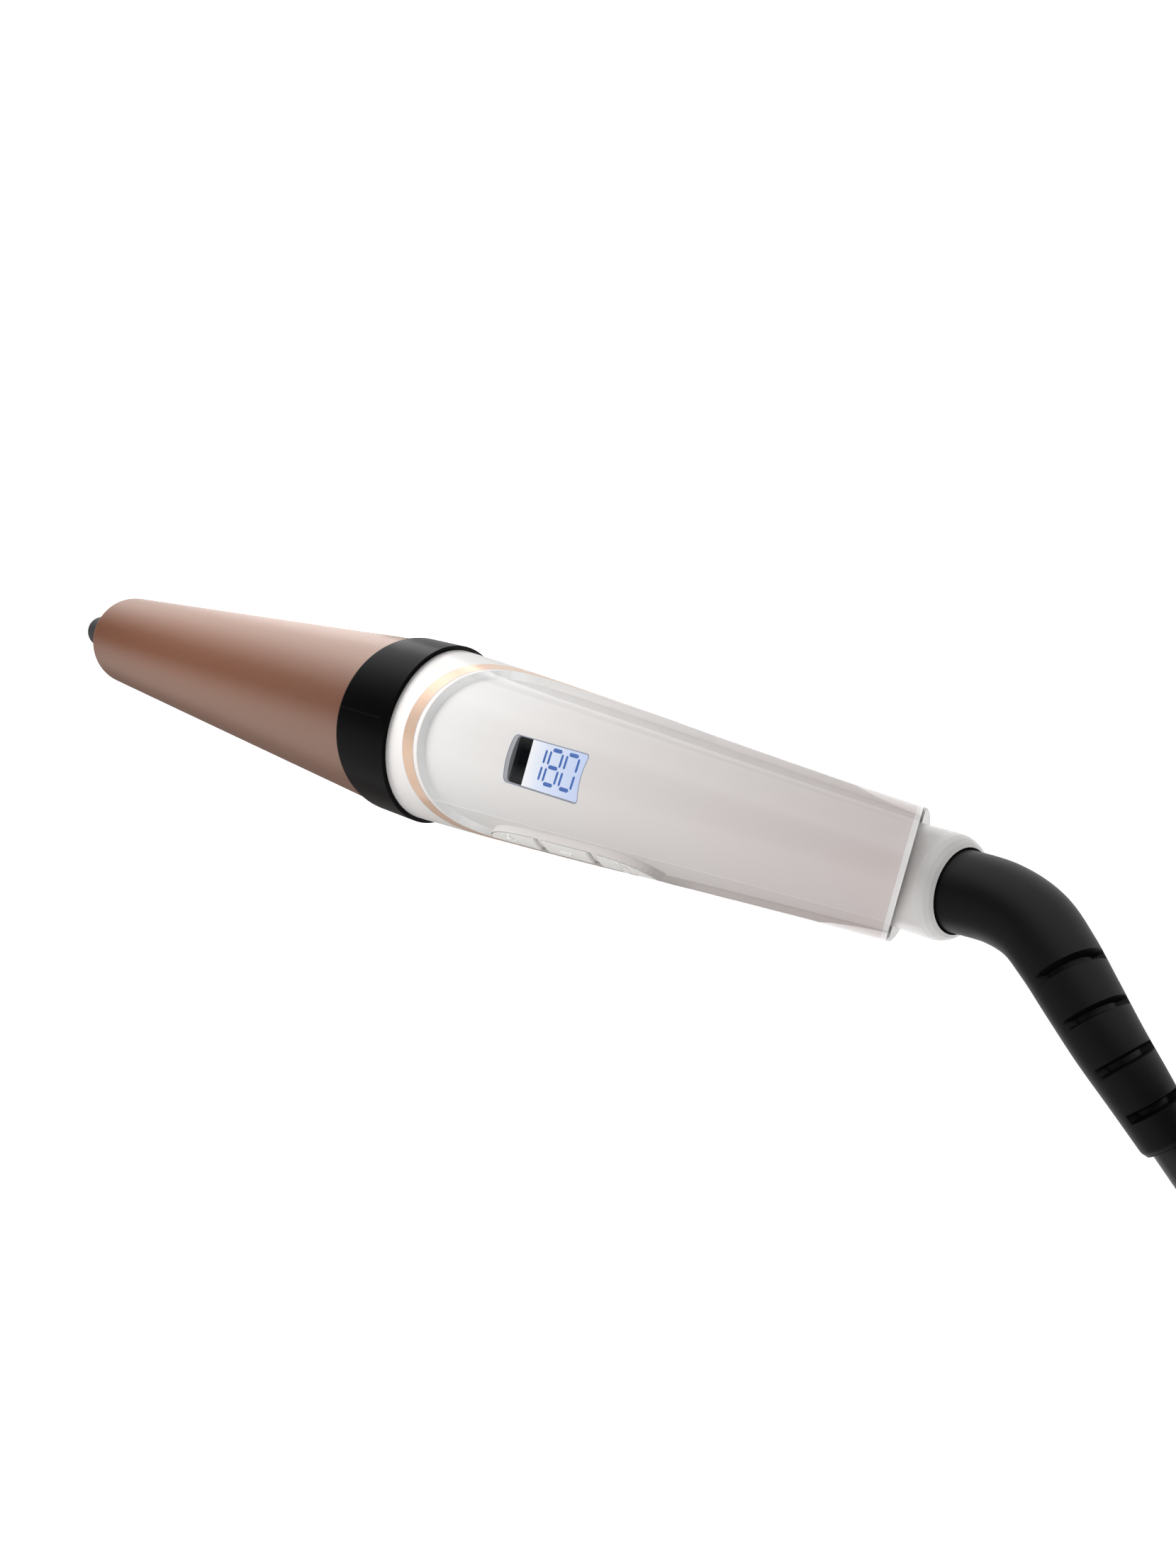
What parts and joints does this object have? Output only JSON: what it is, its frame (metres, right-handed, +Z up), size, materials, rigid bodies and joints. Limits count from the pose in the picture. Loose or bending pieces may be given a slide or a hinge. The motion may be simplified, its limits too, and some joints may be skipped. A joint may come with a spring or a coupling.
{
  "type": "curling iron",
  "caption": "Conical curling iron with a round handle, lit display, three side keys and a swivelling mains lead with a flat two-pin plug.",
  "frame": {"origin": "on the surface it lies on, straight below the middle of the iron without its lead", "axes": "+X from the cool tip to the cord end, +Z up through the display, keys on the -Y side"},
  "size_m": [0.5065, 0.0689, 0.0437],
  "materials": {
    "barrel_coating": "satin rose-bronze ceramic coating on aluminium",
    "tip_plastic": "matte dark grey, heat resistant",
    "steel": "bright zinc",
    "heat_spreader": "extruded",
    "ceramic": "unglazed ceramic",
    "brass": "bright",
    "lead_sleeve": "woven silicone sleeve",
    "insulator": "natural, heat resistant",
    "black_plastic": "fine matte",
    "white_housing": "gloss white",
    "rose_gold": "rose-gold plating on plastic",
    "clear_plastic": "clear, polished, white behind it",
    "grey_plastic": "satin grey",
    "display": "pale blue lit liquid crystal display",
    "light_guide": "white, diffusing",
    "inner_plastic": "as moulded",
    "white_key": "satin white",
    "board": "green solder mask",
    "relief_rubber": "fine matte black",
    "cord_sheath": "matte black",
    "tie_rubber": "matte dark grey",
    "plug_plastic": "fine matte black",
    "pin_metal": "nickel plate on brass"
  },
  "bodies": {
    "iron": {"barrel": "barrel_coating", "cool_tip": "tip_plastic", "tip_screw": "steel", "heater_block_left": "heat_spreader", "heater_block_right": "heat_spreader", "ptc_heater": "ceramic", "pressure_spring": "steel", "temperature_sensor": "ceramic", "thermal_fuse": "brass", "heater_leads": "lead_sleeve", "insulator_ring": "insulator", "heat_collar": "black_plastic", "upper_housing": "white_housing", "lower_housing": "white_housing", "trim_band": "rose_gold", "clear_cover": "clear_plastic", "display_bezel": "grey_plastic", "lcd_glass": "display", "backlight": "light_guide", "lcd_holder": "inner_plastic", "key_board": "board", "main_board": "board", "housing_screws": "steel", "swivel_bush": "insulator", "brush_holder": "inner_plastic", "brush_contacts": "brass"},
    "plus_key": {"plus_key": "white_key"},
    "minus_key": {"minus_key": "white_key"},
    "power_key": {"power_key": "white_key"},
    "cord_end": {"swivel_hub": "inner_plastic", "slip_rings": "brass", "strain_relief": "relief_rubber", "power_cord": "cord_sheath", "cord_hank": "cord_sheath", "cord_tail": "cord_sheath", "cord_tie": "tie_rubber", "plug_body": "plug_plastic", "plug_pins": "pin_metal"}
  },
  "joints": [
    {"name": "plus_press", "type": "slide", "parent": "iron", "child": "plus_key", "axis": [0, 0.9205, -0.3907], "range_m": [0, 0.0006], "stiffness_N_per_m": 500},
    {"name": "minus_press", "type": "slide", "parent": "iron", "child": "minus_key", "axis": [0, 0.9205, -0.3907], "range_m": [0, 0.0006], "stiffness_N_per_m": 500},
    {"name": "power_press", "type": "slide", "parent": "iron", "child": "power_key", "axis": [0, 0.9205, -0.3907], "range_m": [0, 0.0006], "stiffness_N_per_m": 500},
    {"name": "cord_swivel", "type": "hinge", "parent": "iron", "child": "cord_end", "pos_m": [0.1495, 0, 0.0195], "axis": [1, 0, 0], "continuous": true}
  ]
}
